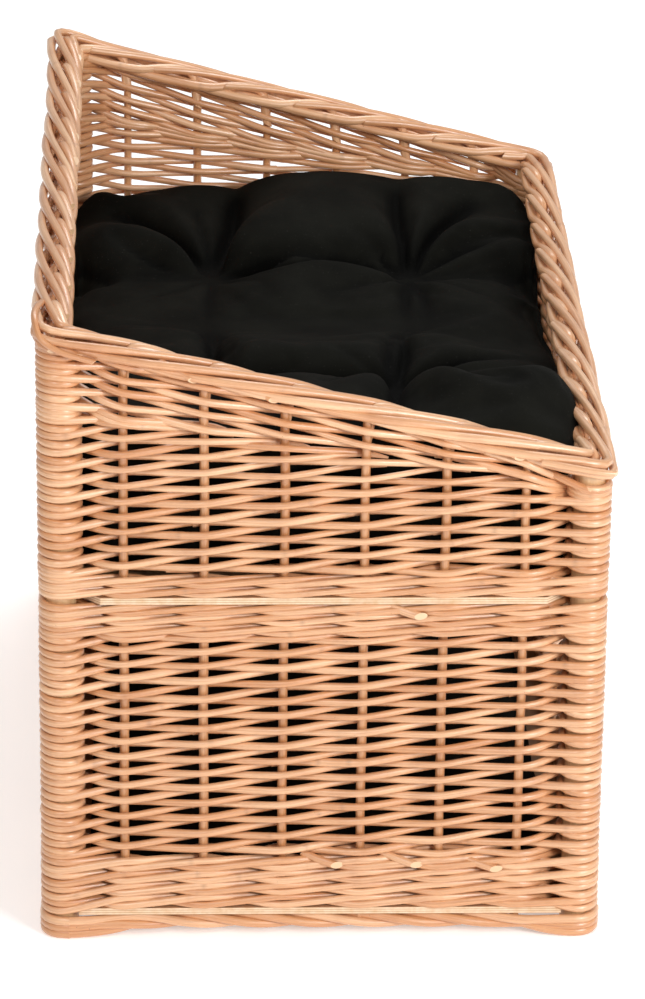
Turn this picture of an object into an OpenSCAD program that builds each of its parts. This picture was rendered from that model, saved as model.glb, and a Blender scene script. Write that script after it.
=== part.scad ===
// Two-storey willow pet bed: an open bed with a thick cushion on a shelf, over a cave with its own entrance.
// +X points to the low front with the entrance, +Y along the long side, and z = 0 is the floor.

/* [Overall] */
// Outside of the weave across the short side
outer_w = 450; // [420:5:500]
// Outside of the weave along the long side
outer_l = 720; // [660:5:780]
// Height of the rim at the high back
back_h = 537; // [500:1:570]
// Height of the rim at the low front
front_h = 418; // [405:1:440]

/* [Posts and stakes] */
// Diameter of the corner posts
post_d = 24; // [20:1:28]
// Thickness of the rods wrapped round a post
wrap_t = 5; // [4:0.5:6]
// Diameter of the upright stakes
stake_d = 7.5; // [6:0.5:8.5]
// Distance between neighbouring stakes
stake_pitch = 63.3; // [60:0.1:64]
// Stakes in a short wall
short_stakes = 6; // [4:2:6]
// Stakes in a long wall
long_stakes = 10; // [8:2:10]

/* [Boards] */
// Thickness of the plywood boards
board_t = 6; // [4:1:8]
// Gap between the floor and the base board
foot_h = 20; // [15:1:25]
// Height of the shelf's top face
shelf_z = 302; // [290:1:310]

/* [Weave] */
// Thickness of the woven walls
wall_t = 18; // [16:1:20]
// How much thicker the waling is than the weave
wale_extra = 2; // [0:0.5:3]
// Height of the waling on the base board
base_wale_h = 46; // [35:1:55]
// Height of the waling under the shelf
under_wale_h = 28; // [20:1:35]
// Height of the waling over the shelf
over_wale_h = 18; // [12:1:24]

/* [Borders] */
// Width of the plaited top border
rim_w = 30; // [24:1:34]
// Height of the plaited top border
rim_h = 26; // [20:1:30]
// How far the top border stands out past the wall
rim_out = 4.5; // [2:0.5:8]
// Height of the twisted foot border
foot_border_h = 13; // [9:1:14]

/* [Entrance] */
// Clear width of the cave's entrance
door_w = 274; // [240:2:278]
// Clear height of the entrance over the base waling
door_h = 166; // [140:2:180]
// Inner radius of the entrance's top corners
door_r = 65; // [40:5:80]
// Diameter of the bent rod round the entrance
hoop_d = 10; // [8:1:12]

/* [Cushions] */
// Height of the thick cushion on the shelf
bed_cushion_h = 138; // [100:1:150]
// Height of the flat cushion in the cave
cave_cushion_h = 52; // [30:1:60]
// Distance of the tufts from the middle, across and along
tuft_x = 86; // [70:1:100]
tuft_y = 145; // [110:1:170]
// Depth of a tuft
tuft_depth = 48; // [20:1:60]

/* [Hidden] */
$fn = 48;

willow = "#e4a981";
willow_dark = "#cf9670";
post_wood = "#efc8a0";
plywood = "#ead0b3";
black_cotton = "#24231f";
black_thread = "#111111";

half_w = outer_w / 2;
half_l = outer_l / 2;
post_r = post_d / 2;
wrap_r = post_r + wrap_t;
stake_r = stake_d / 2;
hoop_r = hoop_d / 2;
// Air left between curved faces that would otherwise touch
gap = 0.3;

post_x = half_w - wrap_r;
post_y = half_l - wrap_r;
wall_x = half_w - wall_t / 2;
wall_y = half_l - wall_t / 2;

base_top = foot_h + board_t;
shelf_bottom = shelf_z - board_t;
base_wale_top = base_top + base_wale_h;
under_wale_z = shelf_bottom - under_wale_h;
over_wale_top = shelf_z + over_wale_h;

rim_x = half_w + rim_out;
rim_y = half_l + rim_out;
// The rim falls evenly from the back to the front
rim_slope = (back_h - front_h) / (2 * rim_x);
function rim_top(x) = front_h + rim_slope * (rim_x - x);
function rim_under(x) = rim_top(x) - rim_h;

// Positions of a row of stakes about the middle of its wall
function stake_row(count) = [for (i = [0 : count - 1]) (i - (count - 1) / 2) * stake_pitch];

// The boards' edges show, just inside the weave's outer face
board_inset = 3;
board_x = half_w - board_inset;
board_y = half_l - board_inset;
stake_foot_z = 8;

door_leg_y = door_w / 2 + hoop_r;
door_bend_r = door_r + hoop_r;
door_bend_y = door_leg_y - door_bend_r;
door_top = base_wale_top + door_h;
door_bend_z = door_top + hoop_r - door_bend_r;

// Big enough to reach past the whole basket
far = 2000;

// Rounded rectangle about the origin
module round_plan(x, y, r) {
    square([2 * x, 2 * (y - r)], center = true);
    square([2 * (x - r), 2 * y], center = true);
    for (sx = [-1, 1], sy = [-1, 1])
        translate([sx * (x - r), sy * (y - r)])
            circle(r);
}

// Extrudes an outline drawn in X and Z through the thickness of a wall on the Y side
module along_y(y, t) {
    translate([0, y + t / 2, 0])
        rotate([90, 0, 0])
            linear_extrude(t)
                children();
}

// Everything below the underside of the top border, lowered by drop
module below_rim(drop = 0) {
    along_y(0, far)
        polygon([
            [-half_w * 2, 0],
            [half_w * 2, 0],
            [half_w * 2, rim_under(half_w * 2) - drop],
            [-half_w * 2, rim_under(-half_w * 2) - drop]
        ]);
}

// The four posts' wraps, cut out of the walls that meet them
module wrap_clearance() {
    for (sx = [-1, 1], sy = [-1, 1])
        translate([sx * post_x, sy * post_y, -1])
            cylinder(r = wrap_r + gap, h = far);
}

// All stakes of the four walls as plain rods, used for the rods and for their holes
module short_row(side, r, z0, z1) {
    for (x = stake_row(short_stakes))
        translate([x, side * wall_y, z0])
            cylinder(r = r, h = z1 - z0);
}

module long_row(side, r, z0, z1) {
    for (y = stake_row(long_stakes))
        translate([side * wall_x, y, z0])
            cylinder(r = r, h = z1 - z0);
}

module stake_holes(r) {
    for (side = [-1, 1]) {
        short_row(side, r, -1, far);
        long_row(side, r, -1, far);
    }
}

module post(sx, sy) {
    color(post_wood)
        intersection() {
            translate([sx * post_x, sy * post_y, 2])
                cylinder(r = post_r, h = far);
            below_rim();
        }
}

// Tube of rods wrapped round one post
module wrap_tube(sx, sy, z0, z1) {
    translate([sx * post_x, sy * post_y, z0])
        difference() {
            cylinder(r = wrap_r, h = z1 - z0);
            translate([0, 0, -1])
                cylinder(r = post_r, h = z1 - z0 + 2);
        }
}

module lower_wrap(sx, sy) {
    color(willow)
        wrap_tube(sx, sy, base_top, shelf_bottom - 2);
}

module upper_wrap(sx, sy) {
    color(willow)
        intersection() {
            wrap_tube(sx, sy, shelf_z + 2, back_h);
            below_rim(6);
        }
}

module foot_wraps() {
    color(willow)
        for (sx = [-1, 1], sy = [-1, 1])
            wrap_tube(sx, sy, 0, foot_h);
}

// Base board, with a square notch at each post
module base_board() {
    notch = post_r + gap;
    color(plywood)
        difference() {
            translate([0, 0, foot_h])
                linear_extrude(board_t)
                    square([2 * board_x, 2 * board_y], center = true);
            for (sx = [-1, 1], sy = [-1, 1])
                translate([sx * (post_x + half_w / 2 - notch), sy * (post_y + half_w / 2 - notch), foot_h])
                    cube([half_w, half_w, far], center = true);
            stake_holes(stake_r);
        }
}

// Mid shelf, with its corners cut off inside the posts
module shelf_board() {
    reach = post_x + post_y - (post_r + gap) * sqrt(2);
    color(plywood)
        difference() {
            translate([0, 0, shelf_bottom])
                linear_extrude(board_t)
                    polygon([
                        [board_x, reach - board_x],
                        [reach - board_y, board_y],
                        [board_y - reach, board_y],
                        [-board_x, reach - board_x],
                        [-board_x, board_x - reach],
                        [board_y - reach, -board_y],
                        [reach - board_y, -board_y],
                        [board_x, board_x - reach]
                    ]);
            stake_holes(stake_r);
        }
}

module stakes_short(side) {
    color(willow_dark)
        intersection() {
            short_row(side, stake_r, stake_foot_z, back_h);
            below_rim();
        }
}

module stakes_back() {
    color(willow_dark)
        intersection() {
            long_row(-1, stake_r, stake_foot_z, back_h);
            below_rim();
        }
}

// Stakes of the front wall: the ones over the entrance start on its hoop
module stakes_front() {
    color(willow_dark)
        intersection() {
            difference() {
                long_row(1, stake_r, stake_foot_z, back_h);
                translate([wall_x - wall_t, -door_leg_y, base_wale_top])
                    cube([2 * wall_t, 2 * door_leg_y, door_h + hoop_d + gap]);
            }
            below_rim();
        }
}

// A straight band of wall on a short side (side = -1 near, 1 far), between two heights
module short_band(side, t, z0, z1) {
    difference() {
        intersection() {
            translate([-post_x + 3, side * wall_y - t / 2, z0])
                cube([2 * post_x - 6, t, z1 - z0]);
            below_rim();
        }
        wrap_clearance();
        short_row(side, stake_r, z0 - 1, z1 + 1);
    }
}

// The same on a long side (side = -1 back, 1 front)
module long_band(side, t, z0, z1) {
    difference() {
        intersection() {
            translate([side * wall_x - t / 2, -post_y + 3, z0])
                cube([t, 2 * post_y - 6, z1 - z0]);
            below_rim();
        }
        wrap_clearance();
        long_row(side, stake_r, z0 - 1, z1 + 1);
    }
}

module short_wale(side, z0, z1) {
    color(willow)
        short_band(side, wall_t + wale_extra, z0, z1);
}

module long_wale(side, z0, z1) {
    color(willow)
        long_band(side, wall_t + wale_extra, z0, z1);
}

// Base waling of the front wall, bored for the two legs of the entrance hoop
module base_wale_front() {
    color(willow)
        difference() {
            long_band(1, wall_t + wale_extra, base_top, base_wale_top);
            for (side = [-1, 1])
                translate([wall_x, side * door_leg_y, 0])
                    cylinder(r = hoop_r, h = far);
        }
}

// Outline of the entrance with its hoop, in Y and Z, grown by grow
module door_outline(grow) {
    r = door_bend_r + grow;
    translate([-door_bend_y - r, 0])
        square([2 * (door_bend_y + r), door_bend_z]);
    translate([-door_bend_y, 0])
        square([2 * door_bend_y, door_bend_z + r]);
    for (side = [-1, 1])
        translate([side * door_bend_y, door_bend_z])
            circle(r);
}

// Woven wall beside the entrance, up to the top of the hoop
module lower_weave_front_side(side) {
    color(willow)
        intersection() {
            difference() {
                long_band(1, wall_t, base_wale_top, door_top + hoop_d);
                translate([wall_x - wall_t, 0, 0])
                    rotate([90, 0, 90])
                        linear_extrude(2 * wall_t)
                            door_outline(hoop_r + gap);
            }
            translate([0, side > 0 ? door_bend_y : -door_bend_y - far, 0])
                cube([far, far, far]);
        }
}

module lower_weave_front_head() {
    color(willow)
        long_band(1, wall_t, door_top + hoop_d, under_wale_z);
}

// Bent rod round the entrance, its legs standing in the base waling
module entrance_hoop() {
    color(post_wood)
        translate([wall_x, 0, 0]) {
            for (side = [-1, 1]) {
                translate([0, side * door_leg_y, base_top])
                    cylinder(r = hoop_r, h = door_bend_z - base_top);
                translate([0, side * door_bend_y, door_bend_z])
                    rotate([90, 0, side * 90])
                        rotate_extrude(angle = 90)
                            translate([door_bend_r, 0])
                                circle(hoop_r);
            }
            translate([0, door_bend_y, door_top + hoop_r])
                rotate([90, 0, 0])
                    cylinder(r = hoop_r, h = 2 * door_bend_y);
        }
}

// Plan of one side of the border, mitred at 45 degrees (quarter = 0 near, 1 front, 2 far, 3 back)
module border_sector(quarter) {
    x = rim_x;
    y = rim_y;
    reach = x;
    if (quarter == 0)
        polygon([[-x, -y], [x, -y], [x - reach, reach - y], [reach - x, reach - y]]);
    if (quarter == 1)
        polygon([[x, -y], [x, y], [x - reach, y - reach], [x - reach, reach - y]]);
    if (quarter == 2)
        polygon([[x, y], [-x, y], [reach - x, y - reach], [x - reach, y - reach]]);
    if (quarter == 3)
        polygon([[-x, y], [-x, -y], [reach - x, reach - y], [reach - x, y - reach]]);
}

// One side of the plaited top border
module top_border(quarter) {
    outer_r = 30;
    inner_r = 10;
    color(willow)
        intersection() {
            linear_extrude(far)
                intersection() {
                    difference() {
                        round_plan(rim_x, rim_y, outer_r);
                        round_plan(rim_x - rim_w, rim_y - rim_w, inner_r);
                    }
                    border_sector(quarter);
                }
            along_y(0, far)
                polygon([
                    [-rim_x, rim_top(-rim_x)],
                    [rim_x, rim_top(rim_x)],
                    [rim_x, rim_under(rim_x)],
                    [-rim_x, rim_under(-rim_x)]
                ]);
        }
}

module foot_border_short(side) {
    color(willow)
        short_band(side, wall_t, foot_h - foot_border_h, foot_h);
}

module foot_border_long(side) {
    color(willow)
        long_band(side, wall_t, foot_h - foot_border_h, foot_h);
}

// Soft block with round edges, standing on z
module soft_block(x, y, z, h, r, low_r) {
    hull()
        for (sx = [-1, 1], sy = [-1, 1]) {
            translate([sx * (x - r), sy * (y - r), z + h - r])
                sphere(r, $fn = 32);
            translate([sx * (x - low_r), sy * (y - low_r), z + low_r])
                sphere(low_r, $fn = 32);
        }
}

bed_x = half_w + rim_out - rim_w - 1.5;
bed_y = half_l + rim_out - rim_w - 8;
bed_z = shelf_z + gap;
tie_r = 1.25;

// Threads that hold the tufts down, one through the cushion at each tuft
module tie_rods() {
    for (sx = [-1, 1], sy = [-1, 1])
        translate([sx * tuft_x, sy * tuft_y, bed_z])
            cylinder(r = tie_r, h = bed_cushion_h - tuft_depth);
}

// Thick cushion of the bed: cotton cover and filling as one soft solid
module bed_cushion() {
    color(black_cotton)
        difference() {
            soft_block(bed_x, bed_y, bed_z, bed_cushion_h, 52, 36);
            tie_rods();
        }
}

module bed_cushion_ties() {
    color(black_thread)
        tie_rods();
}

// Flat cushion on the floor of the cave
module cave_cushion() {
    color(black_cotton)
        soft_block(post_x - wrap_r - 2, post_y - wrap_r - 2, base_top, cave_cushion_h, 24, 22);
}

post(-1, -1);  // post_back_near
post(-1, 1);  // post_back_far
post(1, -1);  // post_front_near
post(1, 1);  // post_front_far
base_board();
shelf_board();
stakes_short(-1);  // stakes_near
stakes_short(1);  // stakes_far
stakes_back();
stakes_front();
short_wale(-1, base_top, base_wale_top);  // base_wale_near
short_wale(1, base_top, base_wale_top);  // base_wale_far
long_wale(-1, base_top, base_wale_top);  // base_wale_back
base_wale_front();
color(willow) short_band(-1, wall_t, base_wale_top, under_wale_z);  // lower_weave_near
color(willow) short_band(1, wall_t, base_wale_top, under_wale_z);  // lower_weave_far
color(willow) long_band(-1, wall_t, base_wale_top, under_wale_z);  // lower_weave_back
lower_weave_front_side(-1);  // lower_weave_front_near
lower_weave_front_side(1);  // lower_weave_front_far
lower_weave_front_head();
short_wale(-1, under_wale_z, shelf_bottom);  // under_shelf_wale_near
short_wale(1, under_wale_z, shelf_bottom);  // under_shelf_wale_far
long_wale(-1, under_wale_z, shelf_bottom);  // under_shelf_wale_back
long_wale(1, under_wale_z, shelf_bottom);  // under_shelf_wale_front
short_wale(-1, shelf_z, over_wale_top);  // over_shelf_wale_near
short_wale(1, shelf_z, over_wale_top);  // over_shelf_wale_far
long_wale(-1, shelf_z, over_wale_top);  // over_shelf_wale_back
long_wale(1, shelf_z, over_wale_top);  // over_shelf_wale_front
color(willow) short_band(-1, wall_t, over_wale_top, back_h);  // upper_weave_near
color(willow) short_band(1, wall_t, over_wale_top, back_h);  // upper_weave_far
color(willow) long_band(-1, wall_t, over_wale_top, back_h);  // upper_weave_back
color(willow) long_band(1, wall_t, over_wale_top, back_h);  // upper_weave_front
top_border(0);  // top_border_near
top_border(1);  // top_border_front
top_border(2);  // top_border_far
top_border(3);  // top_border_back
foot_border_short(-1);  // foot_border_near
foot_border_short(1);  // foot_border_far
foot_border_long(-1);  // foot_border_back
foot_border_long(1);  // foot_border_front
lower_wrap(-1, -1);  // lower_wrap_back_near
lower_wrap(-1, 1);  // lower_wrap_back_far
lower_wrap(1, -1);  // lower_wrap_front_near
lower_wrap(1, 1);  // lower_wrap_front_far
upper_wrap(-1, -1);  // upper_wrap_back_near
upper_wrap(-1, 1);  // upper_wrap_back_far
upper_wrap(1, -1);  // upper_wrap_front_near
upper_wrap(1, 1);  // upper_wrap_front_far
foot_wraps();
entrance_hoop();
bed_cushion();
bed_cushion_ties();
cave_cushion();
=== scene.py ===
"""Looks of the wicker pet bed basket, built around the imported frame.

Every willow rod is a tube that follows its own way through the 36 uprights (4 posts and 32 stakes) of the
basket. Lengths are in millimetres until a mesh is made, and angles are in radians. The uprights are numbered
anticlockwise as seen from above, from the near post of the high back.
"""

import math
import random

import bpy
import numpy as np
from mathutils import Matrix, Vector, noise


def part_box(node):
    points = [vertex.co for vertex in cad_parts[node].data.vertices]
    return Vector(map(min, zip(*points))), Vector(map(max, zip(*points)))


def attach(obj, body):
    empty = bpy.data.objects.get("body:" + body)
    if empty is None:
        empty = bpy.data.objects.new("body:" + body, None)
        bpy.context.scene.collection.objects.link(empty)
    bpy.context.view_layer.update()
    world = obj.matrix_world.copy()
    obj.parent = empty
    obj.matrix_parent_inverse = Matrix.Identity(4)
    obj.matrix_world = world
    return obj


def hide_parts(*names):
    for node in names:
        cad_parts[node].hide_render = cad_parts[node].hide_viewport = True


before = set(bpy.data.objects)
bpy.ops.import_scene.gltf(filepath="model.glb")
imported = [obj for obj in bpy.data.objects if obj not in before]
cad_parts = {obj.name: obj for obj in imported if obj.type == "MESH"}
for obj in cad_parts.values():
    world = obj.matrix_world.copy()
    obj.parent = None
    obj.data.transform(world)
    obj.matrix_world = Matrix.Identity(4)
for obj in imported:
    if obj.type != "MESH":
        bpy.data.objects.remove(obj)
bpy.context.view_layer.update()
scene = bpy.context.scene

MM = 0.001
TAU = 2 * math.pi


# ---------------------------------------------------------------- sizes, read from the frame
def limits(node):
    """The lowest and highest corner of a CAD node, in millimetres."""
    lo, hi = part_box(node)
    return np.array(lo) / MM, np.array(hi) / MM


post_lo, post_hi = limits("post_front_near")
POST_R = (post_hi[0] - post_lo[0]) / 2
POST_X = post_hi[0] - POST_R
POST_Y = -(post_lo[1] + POST_R)

short_lo, short_hi = limits("stakes_near")
long_hi = limits("stakes_front")[1]
STAKE_R = (short_hi[1] - short_lo[1]) / 2
WALL_Y = -(short_lo[1] + STAKE_R)
WALL_X = long_hi[0] - STAKE_R
SHORT_STAKES = 6
LONG_STAKES = 10
PITCH = (short_hi[0] - short_lo[0] - 2 * STAKE_R) / (SHORT_STAKES - 1)
STAKE_FOOT = short_lo[2]

BASE_UNDER, BASE_TOP = (edge[2] for edge in limits("base_board"))
SHELF_UNDER, SHELF_TOP = (edge[2] for edge in limits("shelf_board"))
BASE_WALE_TOP = limits("base_wale_near")[1][2]
UNDER_WALE_FOOT = limits("under_shelf_wale_near")[0][2]
OVER_WALE_TOP = limits("over_shelf_wale_near")[1][2]

RIM_X = limits("top_border_front")[1][0]
RIM_Y = limits("top_border_far")[1][1]
RIM_W = RIM_X - limits("top_border_front")[0][0]
RIM_BACK = limits("top_border_back")[1][2]
RIM_SLOPE = (RIM_BACK - limits("top_border_front")[1][2]) / (2 * RIM_X - RIM_W)
RIM_FRONT = RIM_BACK - 2 * RIM_X * RIM_SLOPE
RIM_H = 26.0  # height of the top border
FAR_RISE = 8.0  # how much higher the far border stands

HOOP_R = (limits("entrance_hoop")[1][0] - limits("entrance_hoop")[0][0]) / 2
HOOP_Y = limits("entrance_hoop")[1][1] - HOOP_R
HOOP_TOP = limits("entrance_hoop")[1][2] - HOOP_R
HOOP_BEND = 70.0  # radius of its upper corners

# rods
ROD_R = 3.0
WOVEN = STAKE_R + ROD_R - 0.5  # how far a rod's centre stands off the line of stakes
ROW = 6.7  # height of one row of randing
CLIMB = 2 / 3  # rows that a rod climbs from one upright to the next
STEP = 5.0  # length of one ring of a tube
SIDES = 8
RIM_DROP = 8.0  # the weave runs this far up behind the outer rods of the border


def smooth(t):
    """0 below 0 and 1 above 1, with a gentle step between."""
    t = np.clip(t, 0, 1)
    return t**2 * (3 - 2 * t)


def rim_under(x, y):
    """Underside of the top border: it falls from back to front, and stands a little higher at the far end."""
    return RIM_FRONT + RIM_SLOPE * (RIM_X - x) - RIM_H + FAR_RISE * smooth((y - 150) / 180)


# ---------------------------------------------------------------- uprights
NEAR, FRONT, FAR, BACK = range(4)
WALL_NAMES = ("near", "front", "far", "back")
POST_NAMES = ("back_near", "front_near", "front_far", "back_far")  # the post where each wall starts
ALONG = [np.array(v, float) for v in ((1, 0), (0, 1), (-1, 0), (0, -1))]
OUT = [np.array(v, float) for v in ((0, -1), (1, 0), (0, 1), (-1, 0))]
WALL_AWAY = [WALL_Y, WALL_X, WALL_Y, WALL_X]
POST_S = [POST_X, POST_Y, POST_X, POST_Y]
POST_AWAY = [POST_Y, POST_X, POST_Y, POST_X]
STAKES = [SHORT_STAKES, LONG_STAKES, SHORT_STAKES, LONG_STAKES]


def on_wall(wall, s, u):
    """Plan positions at s along a wall from its middle, u outward of its line of stakes."""
    return np.multiply.outer(WALL_AWAY[wall] + u, OUT[wall]) + np.multiply.outer(s, ALONG[wall])


class Upright:
    """A post or a stake, at s along its wall from the wall's middle; a post stands where its wall starts."""

    def __init__(self, kind, wall, s):
        self.kind, self.wall, self.s = kind, wall, s
        self.at = on_wall(wall, s, 0.0)
        if kind == "post":
            self.at = OUT[wall] * POST_AWAY[wall] - ALONG[wall] * POST_S[wall]


uprights = []
for side in (NEAR, FRONT, FAR, BACK):
    uprights.append(Upright("post", side, -POST_S[side]))
    for n in range(STAKES[side]):
        uprights.append(Upright("stake", side, (n - (STAKES[side] - 1) / 2) * PITCH))
COUNT = len(uprights)


def upright(i):
    """Upright i, counted on round the basket as often as needed."""
    return uprights[i % COUNT]


def is_post(i):
    return upright(i).kind == "post"


# ---------------------------------------------------------------- the way of one rod
def bent(t):
    """From 1 to -1 as t goes from 0 to 1: a straight run with a rounded bend at each end."""
    sharp = 0.93
    return np.arcsin(sharp * np.cos(math.pi * t)) / math.asin(sharp)


def anchor(i, state, wall, entering, r):
    """Where a rod meets upright i in a wall's own plan: s, u and the slope there."""
    up = upright(i)
    if up.kind == "stake":
        return up.s, WOVEN * state, 0.0
    end = 1 if entering else -1
    ring = POST_R + r
    inset = POST_AWAY[wall] - WALL_AWAY[wall]
    if state > 0:
        return end * POST_S[wall], inset + ring, 0.0
    diagonal = ring * math.sqrt(0.5)
    return end * (POST_S[wall] - diagonal), inset - diagonal, -1.0 * end


def gap_points(i, state, height, r, t0=0.0, t1=1.0, lift=0.0, drop=0.0):
    """Points of a rod between upright i and the next one, without the last of them."""
    wall = upright(i).wall
    s0, u0, m0 = anchor(i, state(i), wall, False, r)
    s1, u1, m1 = anchor(i + 1, state(i + 1), wall, True, r)
    run = s1 - s0
    t = np.linspace(t0, t1, max(2, int(math.ceil(run * (t1 - t0) / STEP)) + 1))[:-1]
    if m0 or m1:
        u = (2 * t**3 - 3 * t**2 + 1) * u0 + (t**3 - 2 * t**2 + t) * run * m0
        u += (3 * t**2 - 2 * t**3) * u1 + (t**3 - t**2) * run * m1
    else:
        u = (u0 + u1) / 2 + (u0 - u1) / 2 * bent(t)
    s = s0 + run * t
    z = (height(i) + lift) * (1 - t) + (height(i + 1) - drop) * t
    return np.column_stack([on_wall(wall, s, u), z])


def post_points(i, state, height, r, ringed):
    """Points of a rod on post i: a quarter turn outside it, or a full turn from its inner side."""
    ring = POST_R + r
    centre = upright(i).at
    before = OUT[(upright(i).wall - 1) % 4]
    start = math.atan2(before[1], before[0])
    z0 = z1 = height(i)
    if state(i) > 0:
        turn = np.linspace(start, start + TAU / 4, 6)[:-1]
    elif ringed:
        inner = start + TAU / 8 - TAU / 2
        turn = np.linspace(inner, inner - TAU, 20)[:-1]
        z0, z1 = z0 - r, z1 + r
    else:
        return np.empty((0, 3))
    z = np.linspace(z0, z1, len(turn))
    return np.column_stack([centre[0] + ring * np.cos(turn), centre[1] + ring * np.sin(turn), z])


def rod_path(first, last, state, height, r, lead, tail, ringed=True):
    """The way of a rod from upright first to upright last, and a little past both."""
    parts = []
    if lead:
        parts.append(gap_points(first - 1, state, height, r, 1 - lead / PITCH, 1.0))
    for i in range(first, last + 1):
        ring_here = ringed and is_post(i) and state(i) < 0
        if is_post(i):
            parts.append(post_points(i, state, height, r, ringed))
        if i < last:
            ring_next = ringed and is_post(i + 1) and state(i + 1) < 0
            parts.append(gap_points(i, state, height, r, lift=r * ring_here, drop=r * ring_next))
    if tail:
        parts.append(gap_points(last, state, height, r, 0.0, tail / PITCH + 0.01))
    return eased(np.vstack(parts))


def eased(points):
    """The same path with its small kinks in height rounded off."""
    points = points.copy()
    for _ in range(2):
        z = points[:, 2]
        points[1:-1, 2] = (z[:-2] + 2 * z[1:-1] + z[2:]) / 4
    return points


# ---------------------------------------------------------------- tubes
class Bundle:
    """Many rods gathered into one mesh object."""

    def __init__(self, name):
        self.name = name
        self.verts, self.tint, self.cut, self.knot = [], [], [], []
        self.corners, self.uvs, self.sizes, self.smooth = [], [], [], []
        self.count = 0

    def add(self, points, radii, tint, knots=(), sides=SIDES, turn=0.0, slant=0.0):
        """One tube along points, closed by flat cut ends."""
        points = np.asarray(points, float)
        n = len(points)
        radii = np.broadcast_to(radii, n).astype(float)
        tangent, side, up = path_frames(points)
        steps = np.linalg.norm(np.diff(points, axis=0), axis=1)
        run = np.concatenate([[0.0], np.cumsum(steps)])
        knot = np.zeros(n)
        for at in knots:
            knot += np.exp(-(((run - at) / 3.0) ** 2))
        radii = radii * (1 + 0.07 * knot)
        angle = np.arange(sides) / sides * TAU + turn
        oval = 1 + 0.035 * np.cos(2 * angle + tint * 20)
        ring = (np.cos(angle) * oval)[None, :, None] * side[:, None, :]
        ring = ring + (np.sin(angle) * oval)[None, :, None] * up[:, None, :]
        grid = points[:, None, :] + ring * radii[:, None, None]
        grid[0] += tangent[0] * (slant * radii[0] * np.cos(angle))[:, None]
        grid[-1] += tangent[-1] * (slant * radii[-1] * np.cos(angle))[:, None]
        base = self.count
        index = base + np.arange(n * sides).reshape(n, sides)
        a, b = index[:-1], index[1:]
        quads = np.stack([a, np.roll(a, -1, 1), np.roll(b, -1, 1), b], axis=-1).reshape(-1, 4)
        v = np.arange(sides) / sides
        v_next = v + 1 / sides
        u0 = np.repeat(run[:-1, None], sides, 1) * MM
        u1 = np.repeat(run[1:, None], sides, 1) * MM
        v0, v1 = np.broadcast_to(v, u0.shape), np.broadcast_to(v_next, u0.shape)
        uv = np.stack([u0, v0, u0, v1, u1, v1, u1, v0], axis=-1).reshape(-1, 2)
        caps = np.vstack([grid[0], grid[-1]])
        cap_index = base + n * sides + np.arange(2 * sides)
        cap_faces = [cap_index[:sides][::-1], cap_index[sides:]]
        self.verts += [grid.reshape(-1, 3), caps]
        total = n * sides + 2 * sides
        self.tint.append(np.full(total, tint))
        self.cut.append(np.concatenate([np.zeros(n * sides), np.ones(2 * sides)]))
        self.knot.append(np.concatenate([np.repeat(knot, sides), np.zeros(2 * sides)]))
        self.corners += [quads.ravel(), *cap_faces]
        self.uvs += [uv, np.zeros((2 * sides, 2))]
        self.sizes += [np.full(len(quads), 4), np.full(2, sides)]
        self.smooth += [np.ones(len(quads), bool), np.zeros(2, bool)]
        self.count += total

    def make(self, material, body, slot, *nodes):
        mesh = bpy.data.meshes.new(self.name)
        verts = np.vstack(self.verts) * MM
        corners = np.concatenate(self.corners)
        sizes = np.concatenate(self.sizes)
        mesh.vertices.add(len(verts))
        mesh.vertices.foreach_set("co", verts.ravel())
        mesh.loops.add(len(corners))
        mesh.loops.foreach_set("vertex_index", corners)
        mesh.polygons.add(len(sizes))
        mesh.polygons.foreach_set("loop_start", np.concatenate([[0], np.cumsum(sizes)[:-1]]))
        mesh.polygons.foreach_set("loop_total", sizes)
        mesh.polygons.foreach_set("use_smooth", np.concatenate(self.smooth))
        uv = mesh.uv_layers.new(name="fibre")
        uv.data.foreach_set("uv", np.vstack(self.uvs).ravel())
        for name, values in (("tint", self.tint), ("cut", self.cut), ("knot", self.knot)):
            layer = mesh.attributes.new(name, "FLOAT", "POINT")
            layer.data.foreach_set("value", np.concatenate(values))
        mesh.update(calc_edges=True)
        mesh.validate()
        mesh.materials.append(material)
        obj = bpy.data.objects.new(self.name, mesh)
        bpy.context.scene.collection.objects.link(obj)
        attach(obj, body)
        if nodes:
            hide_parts(*nodes)
        return obj


def path_frames(points):
    """Tangents of a path with two more directions that turn as little as they can."""
    tangent = np.gradient(points, axis=0)
    tangent /= np.linalg.norm(tangent, axis=1)[:, None]
    side = np.empty_like(points)
    first = np.cross(tangent[0], (0, 0, 1))
    if np.linalg.norm(first) < 0.2:
        first = np.cross(tangent[0], (0, 1, 0))
    side[0] = first / np.linalg.norm(first)
    for k in range(1, len(points)):
        v = side[k - 1] - side[k - 1].dot(tangent[k]) * tangent[k]
        side[k] = v / math.sqrt(v.dot(v))
    return tangent, side, np.cross(tangent, side)


dice = random.Random(7)


def rod_radii(points, thick, thin, rough=0.05):
    """Radii of a rod that tapers from its butt to its tip, with slow swellings."""
    n = len(points)
    seed = dice.uniform(0, 500)
    swell = [noise.noise((k * 0.11, seed, 0.0)) for k in range(n)]
    return np.linspace(thick, thin, n) * (1 + rough * 2 * np.array(swell))


def knot_places(points, every=260.0):
    """Where a rod's knots are, as lengths along it."""
    length = len(points) * STEP
    return [dice.uniform(0, length) for _ in range(int(length / every + dice.random()))]


# ---------------------------------------------------------------- materials
def linear(r, g, b):
    """A colour given as 0 to 255 on a screen, as the shader wants it."""
    def channel(c):
        c /= 255
        return c / 12.92 if c <= 0.04045 else ((c + 0.055) / 1.055) ** 2.4

    return (channel(r), channel(g), channel(b), 1.0)


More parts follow.
